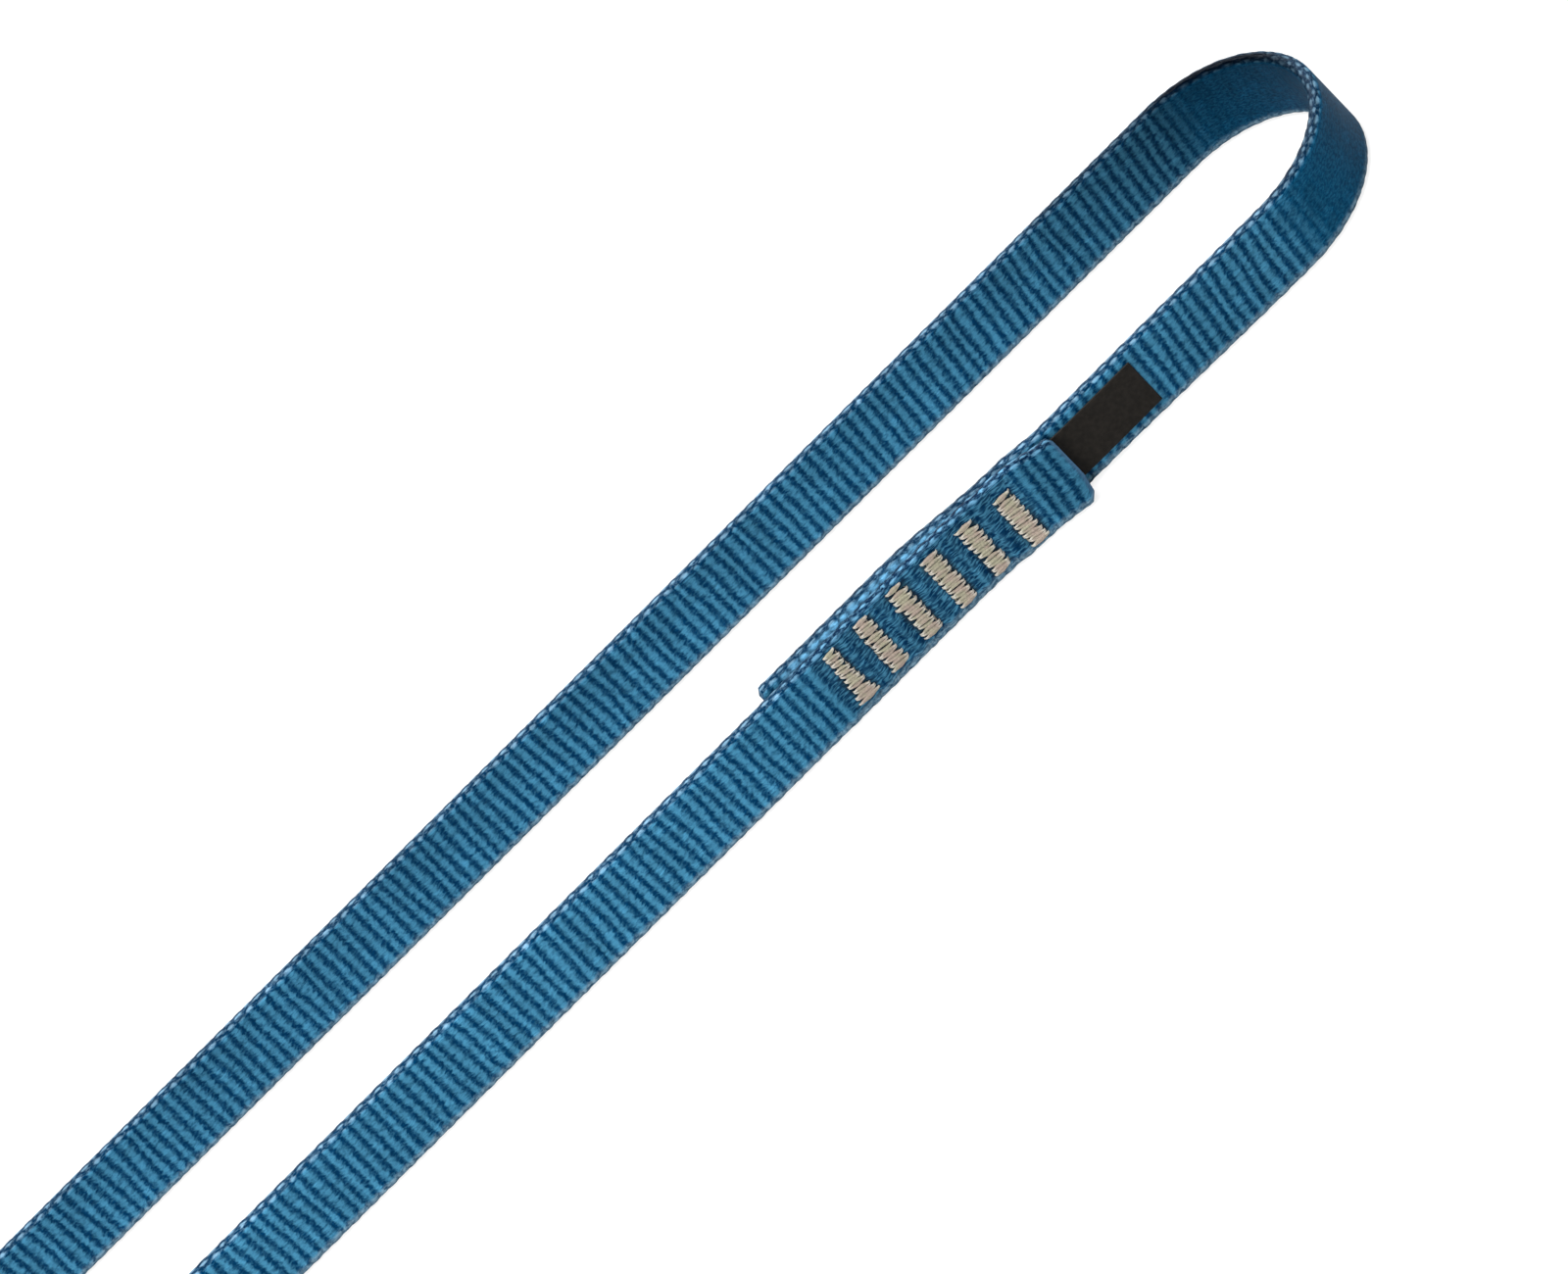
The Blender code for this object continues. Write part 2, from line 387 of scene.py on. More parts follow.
def rib_wander(route, ribs, pitch, heights):
    """How far each rib's start lies from its even place: a shift, a lean and a small wave of its own.

    Toward the label's end of the sling the ribs also lean as one.
    """
    distance, route_x, _, heading = route
    rng = np.random.default_rng(wander_seed)
    count = ribs + 1
    at = np.arange(count) * pitch
    near_label_end = smooth_step((np.interp(at, distance, route_x) - rib_lean_start) / rib_lean_length)
    full_lean = math.tan(rib_lean) * webbing_width / 2
    leaning = full_lean * near_label_end * np.cos(np.interp(at, distance, heading))
    shift = rng.normal(0, rib_shift_spread, count)
    lean = rng.normal(0, rib_lean_spread, count)
    wave = rng.normal(0, rib_wave_spread, count)
    phase = rng.uniform(0, 2 * math.pi, count)
    level = heights / webbing_width * 2 - 1
    bowed = wave[:, None] * np.sin(phase[:, None] + rib_wave_turn * level)
    wander = shift[:, None] + lean[:, None] * level + bowed
    window = np.hanning(slow_lean_ribs)
    slow = rng.normal(0, slow_lean_spread, count + slow_lean_ribs - 1)
    slow = np.convolve(slow, window / window.sum(), mode="valid")
    wander = (wander + slow[:, None] * level) * pitch + leaning[:, None] * level
    wander[[0, -1]] = 0
    return wander


def settled(distance, place, height):
    """How the webbing lies off its plain route, as (outwards, up): it leans, and the lap's plies cross."""
    high_share = height / webbing_width
    turned = smooth_step((distance - right_bend_start) / bend_length)
    returned = smooth_step((distance - left_bend_start) / bend_length)
    on_plain_leg = turned * (1 - returned)
    label_side = (1 - turned) * passed(place, outer_end, half_leg)
    in_lap = passed(place, inner_end, sewn_start)
    near_outer_end = passed(place, last_tack, outer_end)

    outer_end_lean = end_lean * smooth_step((place - end_lean_start) / end_lean_length)
    sewn_leg_lean = leg_lean - lap_lean_loss * in_lap + outer_end_lean
    low = label_side_lean * label_side - plain_leg_low_lean * on_plain_leg + returned * sewn_leg_lean
    high = plain_leg_high_lean * on_plain_leg + returned * end_high_lean * near_outer_end

    crossing = smooth_step((sewn_end - place) / crossing_length) - crossing_loss * (1 - in_lap)
    inner_up = (1 - turned) * inner_end_rise * np.clip(crossing, 0, 1) * (distance < right_bend_start)
    outer_up = returned * outer_top_rise * in_lap * (1 - near_outer_end) * high_share
    return low + (high - low) * high_share, inner_up + outer_up


def bent_share(distance):
    """1 round the two bends, where the stretched webbing shows its ribs least and the material paints shade,
    and 0 along the legs.
    """
    overrun = 0.05
    fade = 0.18
    bent = np.zeros_like(distance)
    for start in (right_bend_start, left_bend_start):
        share = (distance - start) / bend_length
        begun = smooth_step((share + overrun) / fade)
        left = smooth_step((1 + overrun - share) / fade)
        bent = np.maximum(bent, begun * left)
    return bent


def painted_bend_shade(distance, across_normal):
    """Painted shade: 1 on the inner face round the bends, and less elsewhere, on the selvedges near them and
    on the outer face before the right bend.
    """
    inner_reach = 0.060
    inner_power = 1.3
    edge_reach = 0.022
    edge_weight = 1.1
    outer_middle = 0.011
    outer_reach = 0.042
    outer_weight = 0.30
    from_bend = np.full_like(distance, strip_length)
    for start in (right_bend_start, left_bend_start):
        outside = np.maximum(start - distance, distance - start - bend_length)
        from_bend = np.minimum(from_bend, np.maximum(outside, 0))
    inner_bend_shade = np.clip(1 - from_bend / inner_reach, 0, 1) ** inner_power * np.clip(across_normal, 0, 1)
    from_plain_leg_end = np.minimum(np.abs(distance - plain_leg_start), np.abs(distance - left_bend_start))
    edge_bend_shade = 1 - smooth_step((from_plain_leg_end - edge_reach) / edge_reach)
    edge_bend_shade = edge_bend_shade * (1 - np.abs(across_normal))
    before_bend = right_bend_start - distance
    outer_bend_shade = smooth_step(1 - np.abs(before_bend - outer_middle) / outer_reach)
    outer_bend_shade = outer_bend_shade * np.clip(-across_normal, 0, 1) * (distance < plain_leg_start)
    return inner_bend_shade + edge_weight * edge_bend_shade + outer_weight * outer_bend_shade


def painted_face_light(height, across_normal):
    """Painted light on a face by height: the inner one lighter toward its foot, the outer one at top and
    foot.
    """
    even_share = 0.42
    inner_slope = 0.34
    top_reach = 0.24
    top_gain = 0.14
    foot_reach = 0.3
    foot_gain = 0.05
    low_share = 1 - height / webbing_width
    near_top = 1 - smooth_step(low_share / top_reach)
    near_foot = smooth_step((low_share - 1 + foot_reach) / foot_reach)
    inner_lightening = inner_slope * (low_share - even_share)
    return np.where(across_normal > 0, inner_lightening, top_gain * near_top + foot_gain * near_foot)


def webbing_shades(along, place, height, across_normal, height_normal, bent):
    """The values from which the material tells the strip's rows and faces apart and paints their light and
    shade, by name.
    """
    edge = np.abs(height_normal)
    upper = height_normal > 0
    on_inner_ply = along < right_bend_start
    on_outer_ply = along > sewn_leg_start
    in_lap = passed(place, inner_end, sewn_start)
    before_cut = 1 - passed(place, sewn_end, outer_end)
    in_inner_lap = in_lap * before_cut * on_inner_ply
    in_outer_lap = in_lap * on_outer_ply

    above_row = np.where(across_normal < 0, smooth_step((height - dim_row_height) / dim_row_fade), 1) * upper
    dim_row = in_inner_lap * above_row * smooth_step(edge / dim_row_edge)
    from_row = np.clip(np.abs(height - lit_row_height) / lit_row_reach, 0, 1)
    lit_row = in_inner_lap * (1 - from_row**3) * (across_normal < 0)
    on_hidden_side = smooth_step((across_normal - hidden_from) / hidden_fade)
    on_bright_side = 1 - smooth_step((across_normal - bright_to) / bright_fade)
    hidden_row = in_outer_lap * edge * upper * on_hidden_side
    bright_row = in_outer_lap * edge * upper * on_bright_side
    near_cut = smooth_step((place - sewn_end) / cut_shade_length) * (across_normal < 0) * on_outer_ply
    low_row = 1 - smooth_step((height - low_row_height) / low_row_fade)

    # Painted shade on the dim, hidden and bright rows and on the selvedges round the bends, painted light on
    # the low and lit rows; the outer ply is also darker toward its cut end
    weights = (
        (0.50, dim_row),
        (0.90, hidden_row),
        (0.55, near_cut),
        (0.75, bent * edge),
        (0.45, bright_row),
        (-0.30, low_row),
        (-0.40, lit_row),
    )
    painted_light_and_shade = painted_bend_shade(along, across_normal) + sum(weight * shade for weight, shade in weights)
    return {
        "painted_light_and_shade": painted_light_and_shade - painted_face_light(height, across_normal),
        "lit_row": lit_row,
        "highlight_row": np.maximum(lit_row, highlight_row_share * bright_row),
        "low_row": low_row,
        "selvedge": np.maximum(np.maximum(edge * upper, low_row), lit_row),
    }


def tack_seats(place, level):
    """1 where a bar tack presses the webbing in, and 0 beyond its seat."""
    seats = np.zeros_like(place)
    for tack in tack_places:
        seats = np.maximum(seats, 1 - smooth_step((np.abs(place - tack) - seat_half) / (2 * seat_ramp)))
    return seats * smooth_step(np.minimum(level, webbing_width - level) / seat_end_fade)


def pulled_share(place, across_normal):
    """1 beside the tacks, where the thread pulls the ribs flat and the webbing gets painted shade, and 0
    beyond their reach.
    """
    from_tack = np.min([np.abs(place - tack) for tack in tack_places], axis=0)
    between_tacks = (place > tack_places[0]) & (place < last_tack)
    reach = np.where(between_tacks, pull_reach_between, pull_reach_beyond)
    return (1 - smooth_step((from_tack - seat_half) / reach)) * across_normal**4


def covered_share(place, level):
    """1 on the webbing that a tack's thread covers, and 0 away from it."""
    inset = 0.0003
    fade = 0.0004
    covered = np.zeros_like(place)
    for number, tack in enumerate(seen_tack_places, start=1):
        low, high = tack_span(number)
        across = 1 - smooth_step((np.abs(place - tack) - thread_reach(number, level) + inset) / fade)
        upright = smooth_step((level - low + inset) / fade) * smooth_step((high - level) / fade)
        covered = np.maximum(covered, across * upright)
    return covered


def seen_level(from_end, height, height_normal, outwards):
    """The height of each point, with the corners of the cut ends rounded off."""
    short_of_round = (1 - from_end / end_corner_radius).clip(0)
    lost = end_corner_radius * (1 - np.sqrt(np.clip(1 - short_of_round**2, 0, 1)))
    half_seen = seen_width / 2
    return half_seen + (height / middle_height - 1) * (half_seen - lost) + height_normal * outwards


def strip_points(route, along, place, level, offset):
    """Where the strip's points stand, each at its offset from the route toward the inside of the loop.

    The foot of the outer cut end is drawn in.
    """
    distance, _, route_y, heading = route
    middle_y = np.interp(along, distance, route_y)
    angle = np.interp(along, distance, heading)
    near_outer_cut = smooth_step(1 - (strip_length - along) / outer_slant_height)
    drawn_in = outer_end_slant * near_outer_cut * np.clip(1 - level / outer_slant_height, 0, 1)
    shifted, up = settled(along, place, level)
    x = place - drawn_in - np.sin(angle) * (offset - shifted)
    y = middle_y + np.cos(angle) * (offset - shifted)
    return np.stack([x, y, level + up], axis=2)


def corner_yarns(yarns, rings, cap_faces):
    """The yarn at each corner of each face, so that the last yarn doesn't run back to the first."""
    next_yarns = np.append(yarns[1:], yarns_round)
    between_rings = np.tile(np.stack([yarns, next_yarns, next_yarns, yarns], 1), (rings - 1, 1))
    return np.concatenate([between_rings.reshape(-1), np.full(4 * cap_faces, face_yarns / 2)])


def make_webbing(route):
    """The strip as rings of points along its route, with each warp float raised."""
    ribs = round(strip_length / rib_pitch)
    pitch = strip_length / ribs
    yarns, across, height, across_normal, height_normal = strip_profile()
    count = len(yarns)
    edge = np.abs(height_normal)
    rib_at = np.arange(ribs * rings_per_rib + 1) / rings_per_rib
    wander = rib_wander(route, ribs, pitch, height)
    below = np.minimum(np.floor(rib_at).astype(int), ribs - 1)
    share = (rib_at - below)[:, None]
    along = rib_at[:, None] * pitch + wander[below] * (1 - share) + wander[below + 1] * share
    place = np.interp(along, route[0], route[1])
    from_end = np.minimum(along, strip_length - along)
    bent = bent_share(along)

    depth = relief_depth * (1 - (1 - edge_relief_share) * edge) * (1 - bend_relief_loss * bent * (1 - edge))
    grid_ribs, grid_yarns = np.meshgrid(rib_at, yarns, indexing="ij")
    crest = crest_height * (1 + np.minimum(height_normal, 0))
    outwards = crest - depth * (1 - float_height(grid_ribs, grid_yarns, edge))
    level = seen_level(from_end, height, height_normal, outwards)
    on_inner_ply = along < right_bend_start
    sewn_face = (across_normal < 0) & (along > sewn_leg_start) | (across_normal > 0) & on_inner_ply
    outwards = outwards - pressed_depth * tack_seats(place, level) * sewn_face
    points = strip_points(route, along, place, level, across + across_normal * outwards)

    rings = len(rib_at)
    low = np.arange(count // 2 - 1)
    start_cap = np.stack([low, count - 1 - low, count - 2 - low, low + 1], 1)
    end_cap = start_cap[:, ::-1] + (rings - 1) * count
    faces = np.concatenate([grid_faces(rings, count), start_cap, end_cap])
    mesh = mesh_of("webbing_strip", points.reshape(-1, 3), faces)

    values = webbing_shades(along, place, height, across_normal, height_normal, bent)
    values["ribs"] = rib_at[:, None]
    values["edge"] = edge
    values["bent"] = bent
    values["pulled"] = pulled_share(place, across_normal) * sewn_face
    # Painted shade on the webbing that a tack's thread covers
    values["thread_shade"] = covered_share(place, level) * sewn_face
    values["cut_end"] = smooth_step(1 - from_end / sealed_length) * (1 - inner_seal_loss * on_inner_ply)
    for name, value in values.items():
        add_values(mesh, name, np.broadcast_to(value, along.shape).reshape(-1))
    add_values(mesh, "yarns", corner_yarns(yarns, rings, 2 * len(low)), "CORNER")
    strip_map(mesh, ribs, count, len(low))
    webbing = add_piece("webbing_strip", mesh, "sling")
    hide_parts("webbing")
    return webbing, points.mean(axis=1)[::2]


def strip_map(mesh, ribs, count, cap_faces):
    """Lays the strip flat in rows, one above another, with the two cut ends in a band over them."""
    rows = 6
    rows_share = 0.975
    edge_share = 0.03
    cap_length = 0.48
    cap_foot = 0.2
    cap_top = 0.8
    rings_in_row = math.ceil(ribs / rows) * rings_per_rib
    ring = np.arange(ribs * rings_per_rib).repeat(count)
    row = ring // rings_in_row
    point = np.tile(np.arange(count), ribs * rings_per_rib)
    along = ring - row * rings_in_row
    u = np.stack([along, along, along + 1, along + 1], 1) / rings_in_row
    v = np.stack([point, point + 1, point + 1, point], 1) / count
    v = (row[:, None] + edge_share + v * (1 - 2 * edge_share)) / rows * rows_share
    step = np.tile(np.arange(cap_faces), 2)[:, None]
    side = np.repeat([0.0, 0.5], cap_faces)[:, None]
    cap_u = side + cap_length * (step + np.array([0, 0, 1, 1])) / cap_faces
    band = np.array([cap_foot, cap_top, cap_top, cap_foot])
    cap_v = np.tile(rows_share + (1 - rows_share) * band, (2 * cap_faces, 1))
    corners = np.stack([np.concatenate([u, cap_u]), np.concatenate([v, cap_v])], axis=2)
    layer = mesh.uv_layers.new(name="OFBake")
    layer.uv.foreach_set("vector", corners.reshape(-1).astype(np.float32))


def grid_faces(rings, count):
    """Four-sided faces between rings of points that each close on themselves."""
    ring, point = np.meshgrid(np.arange(rings - 1), np.arange(count), indexing="ij")
    after = (point + 1) % count
    low = ring * count
    high = low + count
    return np.stack([low + point, low + after, high + after, high + point], axis=2).reshape(-1, 4)


def mesh_of(name, points, faces):
    """A smooth mesh of four-sided faces."""
    mesh = bpy.data.meshes.new(name)
    mesh.vertices.add(len(points))
    mesh.vertices.foreach_set("co", points.reshape(-1).astype(np.float32))
    mesh.loops.add(faces.size)
    mesh.loops.foreach_set("vertex_index", faces.reshape(-1).astype(np.int32))
    mesh.polygons.add(len(faces))
    mesh.polygons.foreach_set("loop_start", np.arange(0, faces.size, 4, dtype=np.int32))
    mesh.update(calc_edges=True)
    mesh.shade_smooth()
    return mesh


def add_values(mesh, name, values, domain="POINT"):
    attribute = mesh.attributes.new(name, "FLOAT", domain)
    attribute.data.foreach_set("value", np.asarray(values, np.float32))


def add_piece(name, mesh, body):
    made = add_object(name, mesh)
    if body is not None:
        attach(made, body)
    return made


def stitch_rings(start, end, arch, bow, rng):
    """Rings of points of one stitch, as (along the leg, height, outwards), with its ends sunk.

    Gives the points, and the values that the thread's material reads, by name: painted shade where the
    stitch sinks and on its flanks, and a painted highlight near its tips.
    """
    shade_depth = 0.00028
    shade_fade = 0.00040
    tip_length = 0.0006
    tip_fade = 0.0009
    narrowest = 0.92
    widest = 1.06
    run = end - start
    length = np.linalg.norm(run)
    share = np.linspace(0, 1, stitch_steps + 1)[:, None]
    from_end = np.minimum(share, 1 - share) * length
    up = smooth_step(from_end / stitch_rise_length)
    rise = arch * up - stitch_sunk_depth * (1 - up)
    size = end_size_share + (1 - end_size_share) * smooth_step(from_end / end_taper)
    angle = np.arange(stitch_sides) / stitch_sides * 2 * math.pi
    plies = np.cos(thread_plies * (angle - rng.uniform(0, 2 * math.pi)) + thread_twist * share)
    strand = size * (1 + ply_relief_share * plies)
    width = stitch_width * rng.uniform(narrowest, widest)
    parted = strand_bow_at_end + (1 - strand_bow_at_end) * np.sin(math.pi * share) ** 1.5
    bow = (bow + rng.normal(0, bow_spread)) * parted
    sideways = 0.5 * width * strand * np.cos(angle) + bow
    outwards = 0.5 * stitch_height * strand * np.sin(angle) + rise
    along = start[0] + run[0] * share - run[1] / length * sideways
    height = start[1] + run[1] * share + run[0] / length * sideways
    values = {
        "along": share * length,
        "sunk": 1 - smooth_step((rise + shade_depth) / shade_fade),
        "tip_highlight": 1 - smooth_step((from_end - tip_length) / tip_fade),
        "flank_shade": np.cos(angle) ** 2,
    }
    return np.stack([along, height, outwards], 2), values


def tack_span(number):
    """The heights between which a tack's stitches lie: the later tacks lie lower."""
    later = max(0, number - level_tacks)
    return tack_low - tack_foot_fall * later, tack_high - tack_top_fall * later


def thread_reach(number, level):
    """Half the width of a tack's stitching at a height: the first tack flares towards its lower end."""
    if number > 1:
        return tack_width / 2
    flare = np.clip(1 - (level - tack_low) / (tack_high - tack_low), 0, 1) ** 3
    return (first_tack_top_width + (first_tack_low_width - first_tack_top_width) * flare) / 2


def tack_strokes(number, tack, rng):
    """The stitches of one bar tack, as (start, end, arch, bow).

    A few run along it. Over them lie bars of two strands each, which share two holes and part between them.
    """
    low_end, high_end = tack_span(number)
    drop = (high_end - low_end) / (stitch_bars - 1)
    core_length = (high_end - low_end - 2 * core_inset) / core_stitches
    core_spread = core_spread_share * thread_reach(number, tack_high)

    def hole(sign, level):
        place = tack + sign * thread_reach(number, level)
        return np.array([place + rng.normal(0, hole_shift_along), level + rng.normal(0, hole_shift_up)])

    strokes = []
    for core in range(core_threads):
        place = tack + core_spread * (core / (core_threads - 1) - 0.5)
        for part in range(core_stitches):
            high = high_end - core_inset - part * core_length
            strokes.append((np.array([place, high]), np.array([place, high - core_length]), core_arch, 0.0))
    for bar in range(stitch_bars):
        level = high_end - bar * drop
        outer_bar = bar in (0, stitch_bars - 1)
        left = hole(-1, level)
        right = hole(1, level - (0.0 if outer_bar else bar_fall_share) * drop)
        strokes.append((left, right, over_arch, 0.0 if bar == 0 else strand_bow))
        strokes.append((right, left, under_arch, 0.0 if bar == stitch_bars - 1 else strand_bow))
    return strokes


def make_stitching(number, tack, face):
    """The stitches of one bar tack on one face of the lap."""
    needle = face == "needle"
    rng = np.random.default_rng(100 * number + (1 if needle else 50))
    rings = []
    values = {}
    for start, end, arch, bow in tack_strokes(number, tack, rng):
        points, stitch_values = stitch_rings(start, end, arch, bow, rng)
        stitch_values["tone"] = rng.uniform(0, 1)
        rings.append(points)
        for name, value in stitch_values.items():
            values.setdefault(name, []).append(np.broadcast_to(value, points.shape[:2]))
    place, level, outwards = np.concatenate(rings).reshape(-1, 3).T
    outwards = outwards + half_thickness - pressed_depth
    if needle:
        lean, up = settled(sewn_leg_start + half_leg + place, place, level)
        y = -bend_radius - outer_ply_shift(place) - outwards - lean
    else:
        lean, up = settled(place - inner_end, place, level)
        y = -bend_radius - inner_ply_shift(place) + outwards - lean
        up = up * (1 - (level - tack_low) / (tack_high - tack_low))
    one = grid_faces(stitch_steps + 1, stitch_sides)
    stitch_points = (stitch_steps + 1) * stitch_sides
    faces = np.concatenate([one + index * stitch_points for index in range(len(rings))])
    if needle:
        faces = faces[:, ::-1]
    points = np.stack([place, y + frame_shift, level + up], 1)
    mesh = mesh_of(f"bar_tack_{number}_{face}_stitches", points, faces)
    for name, parts in values.items():
        add_values(mesh, name, np.concatenate(parts).reshape(-1))
    piece = add_piece(mesh.name, mesh, "sling")
    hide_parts(f"bar_tack_{number}_{face}_thread")
    return piece


def label_section(low, high):
    """The tape's section, as shares of its thickness and heights: two layers, each with rounded edges."""
    groove = 0.00012
    level_count = 25
    levels = np.linspace(low + groove, high - groove, level_count)
    top = [(-0.75, high), (-0.2, high), (0.0, high - groove), (0.2, high), (0.75, high)]
    foot = [(0.75, low), (0.2, low), (0.0, low + groove), (-0.2, low), (-0.75, low)]
    outer = [(-1.0, level) for level in levels]
    inner = [(1.0, level) for level in reversed(levels)]
    return np.array(outer + top + inner + foot).T


def make_label():
    """One folded tape from between the plies, round its bend and along the leg to its fold."""
    straight_count = 100
    fold_steps = 6
    half = label_thickness / 2
    tail_start = last_tack - seat_half
    fold_start = outer_end + label_length - half
    round_fold = fold_start + half * np.sin(np.linspace(0, math.pi / 2, fold_steps + 1)[1:])
    place = np.concatenate([np.linspace(tail_start, fold_start, straight_count), round_fold])
    past_fold = np.clip(place - fold_start, 0, half)
    thick = np.sqrt(half**2 - past_fold**2)
    low = middle_height + label_rise - label_width / 2
    share, level = label_section(low, low + label_width)
    leaf_share = np.clip((place - outer_end) / label_length, 0, 1)
    bowed = label_bow * np.sin(math.pi * leaf_share)
    middle = frame_shift - bend_radius - lap_line(place) - label_middle - bowed
    curl = label_curl * smooth_step((place - outer_end) / label_curl_length)
    from_middle = (level - low) / label_width * 2 - 1
    y = middle[:, None] + share * thick[:, None] - curl[:, None] * from_middle**2
    points = np.stack(np.broadcast_arrays(place[:, None], y, level), axis=2)
    mesh = mesh_of("label_tape", points.reshape(-1, 3), grid_faces(*y.shape))
    piece = add_piece("label_tape", mesh, None)
    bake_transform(piece)
    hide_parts("label_tail", "label_leaf")
    return piece


class Surface:
    """A material's node tree, with short calls for the nodes used here."""

    def __init__(self, name):
        self.material = bpy.data.materials.new(name)
        self.material.use_nodes = True
        self.tree = self.material.node_tree
        self.shader = self.tree.nodes["Principled BSDF"]

    def set(self, **values):
        """Gives the shader's inputs, with _ for each space in their names."""
        for name, value in values.items():
            self.give(self.shader.inputs[name.replace("_", " ")], value)

    def give(self, socket, value):
        if isinstance(value, bpy.types.NodeSocket):
            self.tree.links.new(value, socket)
        else:
            socket.default_value = value

    def add(self, kind, output, inputs, **settings):
        """One output of a new node, with its settings made first and its inputs given by name or number."""
        node = self.tree.nodes.new(f"ShaderNode{kind}")
        for name, setting in settings.items():
            setattr(node, name, setting)
        for key, value in inputs.items():
            self.give(node.inputs[key], value)
        return node.outputs[output]

    def math(self, operation, *values, clamp=False):
        return self.add("Math", 0, dict(enumerate(values)), operation=operation, use_clamp=clamp)

    def value(self, name):
        return self.add("Attribute", "Fac", {}, attribute_name=name)

    def ramp(self, value, low, high):
        """0 below low, 1 above high, and smooth between."""
        inputs = {"Value": value, "From Min": low, "From Max": high}
        return self.add("MapRange", "Result", inputs, interpolation_type="SMOOTHSTEP")

    def between(self, share, low, high):
        return self.add("MapRange", "Result", {"Value": share, "To Min": low, "To Max": high})

    def mixed(self, share, low, high):
        return self.add("Mix", "Result", {"Factor": share, "A": low, "B": high})

    def colour(self, share, low, high, blend="MIX"):
        inputs = {"Factor": share, "A": low, "B": high}
        return self.add("Mix", "Result", inputs, data_type="RGBA", blend_type=blend)

    def tint(self, share, colours):
        darker, lighter = colours
        return self.colour(share, srgb(*darker), srgb(*lighter))

    def toned(self, colour, tone):
        return self.colour(1.0, colour, self.vector(tone, tone, tone), "MULTIPLY")

    def minus(self, value, taken):
        return self.math("SUBTRACT", value, taken)

    def product(self, *factors):
        total = factors[0]
        for factor in factors[1:]:
            total = self.math("MULTIPLY", total, factor)
        return total

    def swayed(self, value, noise, amount, middle=0.5, clamp=False):
        """A value moved up or down by a noise, from where the noise is at its middle."""
        return self.math("MULTIPLY_ADD", self.minus(noise, middle), amount, value, clamp=clamp)

    def vector(self, *values):
        return self.add("CombineXYZ", 0, dict(enumerate(values)))

    def noise(self, place, scale, detail=2.0, roughness=0.5):
        inputs = {"Vector": place, "Scale": scale, "Detail": detail, "Roughness": roughness}
        return self.add("TexNoise", "Fac", inputs)

    def grain(self, ribs, yarns, per_rib, per_yarn, detail=2.0, roughness=0.6):
        """Noise that changes so many times to a rib along the strip and to a yarn across it."""
        place = self.vector(self.product(ribs, per_rib), self.product(yarns, per_yarn))
        return self.noise(place, 1.0, detail, roughness)

    def random(self, place):
        return self.add("TexWhiteNoise", "Value", {"Vector": place}, noise_dimensions="2D")

    def object_place(self):
        return self.add("TexCoord", "Object", {})

    def bump(self, height, distance, strength):
        inputs = {"Strength": strength, "Distance": distance, "Height": height}
        self.set(Normal=self.add("Bump", "Normal", inputs))


def srgb(red, green, blue):
    """A colour as it is seen, from 0 to 255, as linear light."""
    channels = []
    for seen in (red, green, blue):
        share = seen / 255
        channels.append(share / 12.92 if share <= 0.04045 else ((share + 0.055) / 1.055) ** 2.4)
    return (*channels, 1.0)


def weave_height(surface, ribs, yarns, edge):
    """The same relief as float_height, with the numbers of the rib and of the yarn."""
    row = surface.math("FLOOR", ribs)
    odd = surface.math("FLOORED_MODULO", row, 2.0)
    within = surface.math("ABSOLUTE", surface.minus(surface.minus(ribs, row), 0.5))
    shifted = surface.math("MULTIPLY_ADD", odd, 0.5, yarns)
    own = surface.minus(surface.math("FRACT", surface.math("ADD", shifted, 0.5)), 0.5)
    other = surface.minus(surface.math("FRACT", shifted), 0.5)
    edge_swing = surface.between(edge, float_reach_swing, -float_reach_swing)
    swing = surface.product(edge_swing, surface.between(odd, 1.0, -1.0))
    own_reach = surface.math("ADD", float_reach, swing)
    other_reach = surface.minus(float_reach, swing)
    groove_share = surface.between(surface.product(edge, edge), 4 * face_groove_share, 4 * edge_groove_share)
    beyond = surface.minus(1.0, within)
    heights = []
    for along, across, reach in ((within, own, own_reach), (beyond, other, other_reach)):
        end = surface.math("POWER", surface.math("DIVIDE", along, reach), float_end_power)
        widened = surface.math("MULTIPLY_ADD", surface.product(along, along), groove_growth, groove_least)
        groove = surface.product(across, across, groove_share, widened)
        heights.append(surface.minus(surface.minus(1.0, end), groove))
    height = surface.math("MAXIMUM", surface.math("SMOOTH_MAX", *heights, float_merging), 0.0)
    column = surface.math("FLOOR", surface.math("ADD", shifted, 0.5))
    return height, row, column


def wavering_weave(surface):
    """The counts of ribs and yarns, each swayed a little, so that no float is quite like the next."""
    ribs = surface.value("ribs")
    yarns = surface.value("yarns")
    waver = surface.grain(ribs, yarns, per_rib=1.7, per_yarn=3.5)
    drift = surface.grain(ribs, yarns, per_rib=0.9, per_yarn=4.0, detail=1.0, roughness=0.5)
    rib_sway = 0.34
    yarn_sway = 0.35
    return surface.swayed(ribs, waver, rib_sway), surface.swayed(yarns, drift, yarn_sway)


